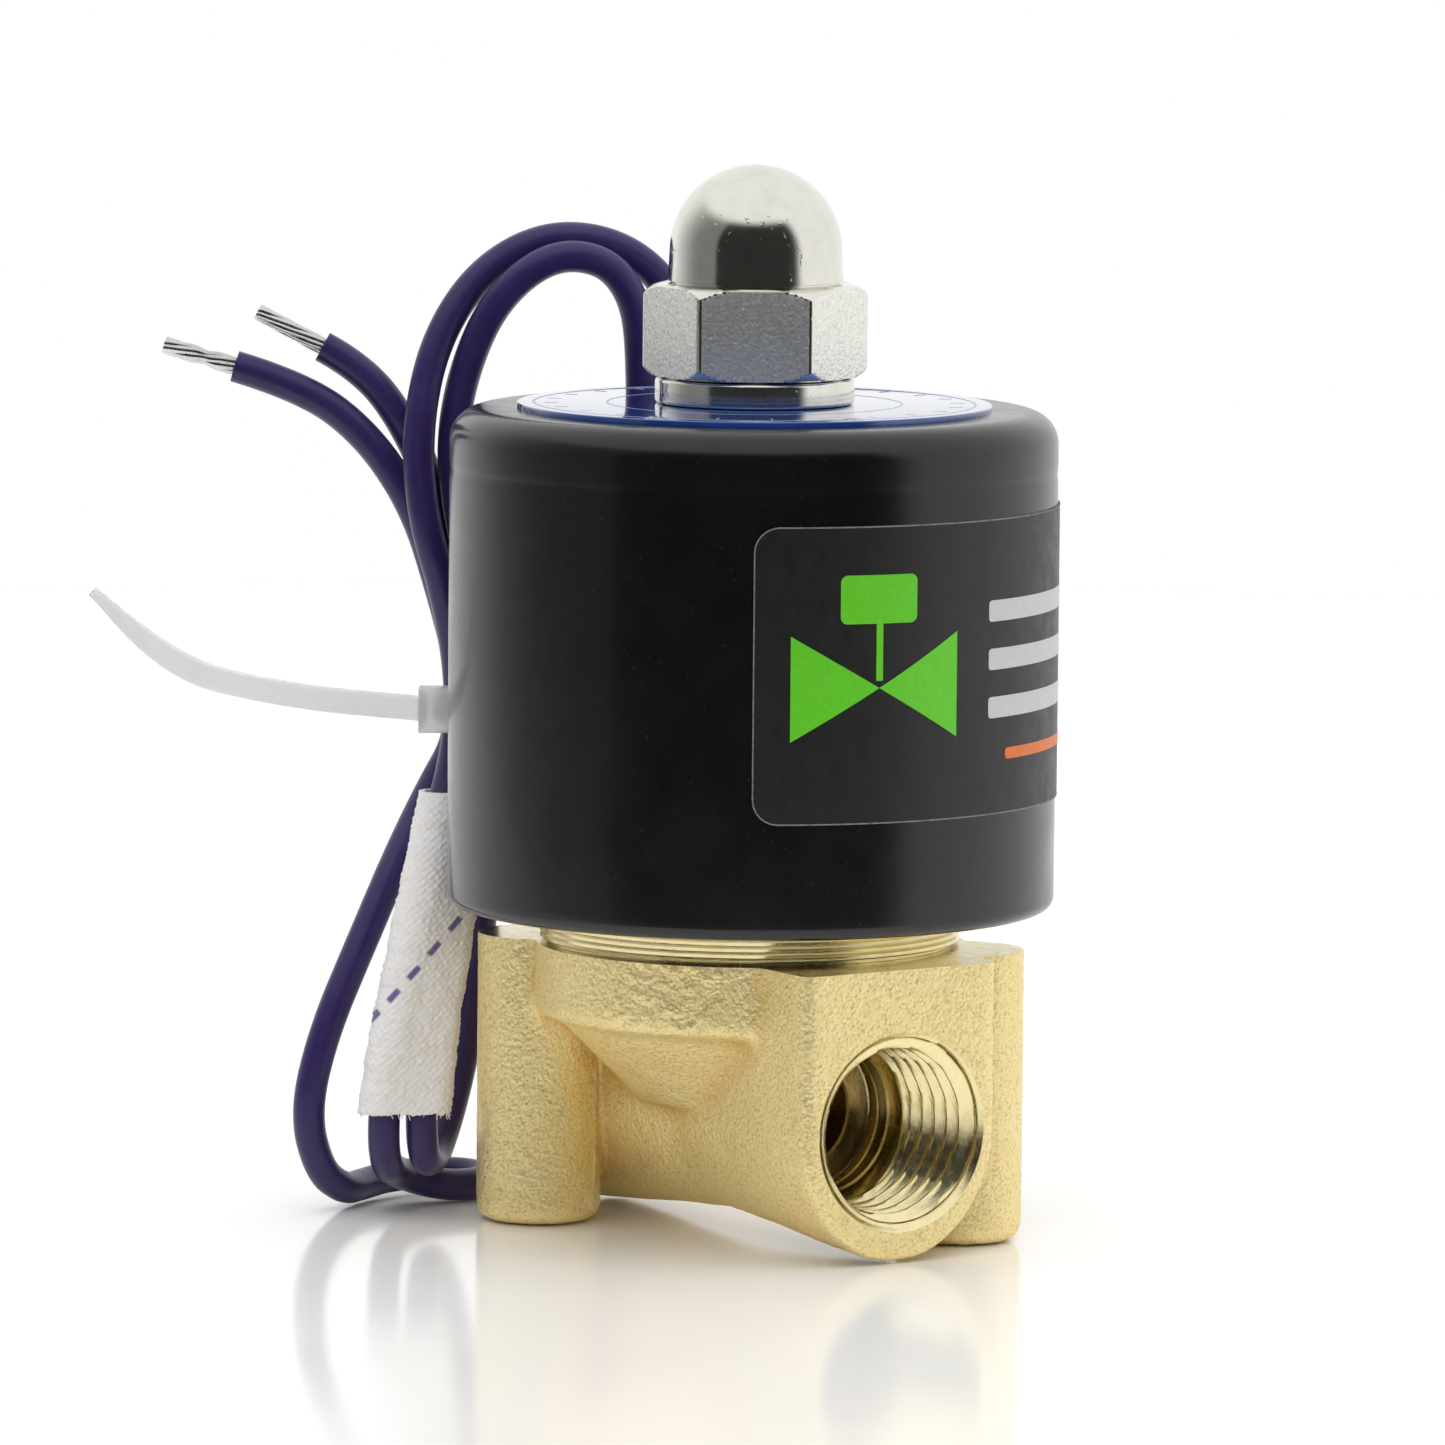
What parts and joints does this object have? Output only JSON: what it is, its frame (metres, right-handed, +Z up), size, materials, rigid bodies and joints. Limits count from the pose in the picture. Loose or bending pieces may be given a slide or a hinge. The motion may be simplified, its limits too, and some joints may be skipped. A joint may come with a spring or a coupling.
{
  "type": "solenoid valve",
  "caption": "Direct-acting brass solenoid valve: stepped pipe ports, drum-shaped casting, round black coil can held by a domed nut, and flying leads tied beside it.",
  "frame": {"origin": "centre of the base on the valve's axis, on the plane that its feet stand on", "axes": "+Z up along the plunger's axis; the flow runs along X, with a port at each end"},
  "size_m": [0.0617, 0.0533, 0.0763],
  "materials": {
    "cast_brass": "sandblasted casting",
    "turned_brass": "fine turned rings",
    "tube_steel": "drawn tube, satin",
    "core_steel": "turned ferritic steel, satin",
    "copper": "bare copper ring",
    "seal_rubber": "black nitrile",
    "spring_steel": "drawn wire",
    "can_paint": "black satin enamel over drawn steel",
    "zinc_plate": "zinc-plated pressed steel",
    "bobbin_plastic": "moulded, natural",
    "winding_copper": "enamelled copper wire",
    "tape": "glass-cloth tape",
    "resin": "cast epoxy",
    "tinned_wire": "tinned copper strands",
    "grommet_rubber": "moulded",
    "disc_blue": null,
    "label_film": null,
    "nickel": "bright nickel plate, satin on the flats",
    "lead_violet": "dark violet lead insulation, satin",
    "glass_braid": "woven glass-fibre sleeve, off-white",
    "nylon": "translucent natural nylon"
  },
  "bodies": {
    "valve": {"valve_body": "cast_brass", "bonnet_flange": "turned_brass", "armature_tube": "tube_steel", "bonnet_o_ring": "seal_rubber", "fixed_core": "core_steel", "shading_ring": "copper", "spring_washer": "nickel", "cap_nut": "nickel"},
    "coil": {"coil_can": "can_paint", "yoke_base_plate": "zinc_plate", "coil_bobbin": "bobbin_plastic", "coil_winding": "winding_copper", "winding_tape": "tape", "potting_resin": "resin", "lead_splices": "tinned_wire", "lead_grommet": "grommet_rubber", "name_disc": "disc_blue", "side_label": "label_film", "lead_wire_a": "lead_violet", "lead_wire_b": "lead_violet", "lead_tip_a": "tinned_wire", "lead_tip_b": "tinned_wire", "insulating_sleeve": "glass_braid", "cable_tie": "nylon"},
    "plunger": {"plunger": "core_steel", "plunger_seal": "seal_rubber", "return_spring": "spring_steel"}
  },
  "joints": [
    {"name": "coil_swivel", "type": "hinge", "parent": "valve", "child": "coil", "pos_m": [0, 0, 0.04], "axis": [0, 0, 1], "continuous": true},
    {"name": "plunger_lift", "type": "slide", "parent": "valve", "child": "plunger", "axis": [0, 0, 1], "range_m": [0, 0.0015], "stiffness_N_per_m": 300, "springref_m": -0.006, "deforming": ["return_spring"]}
  ]
}
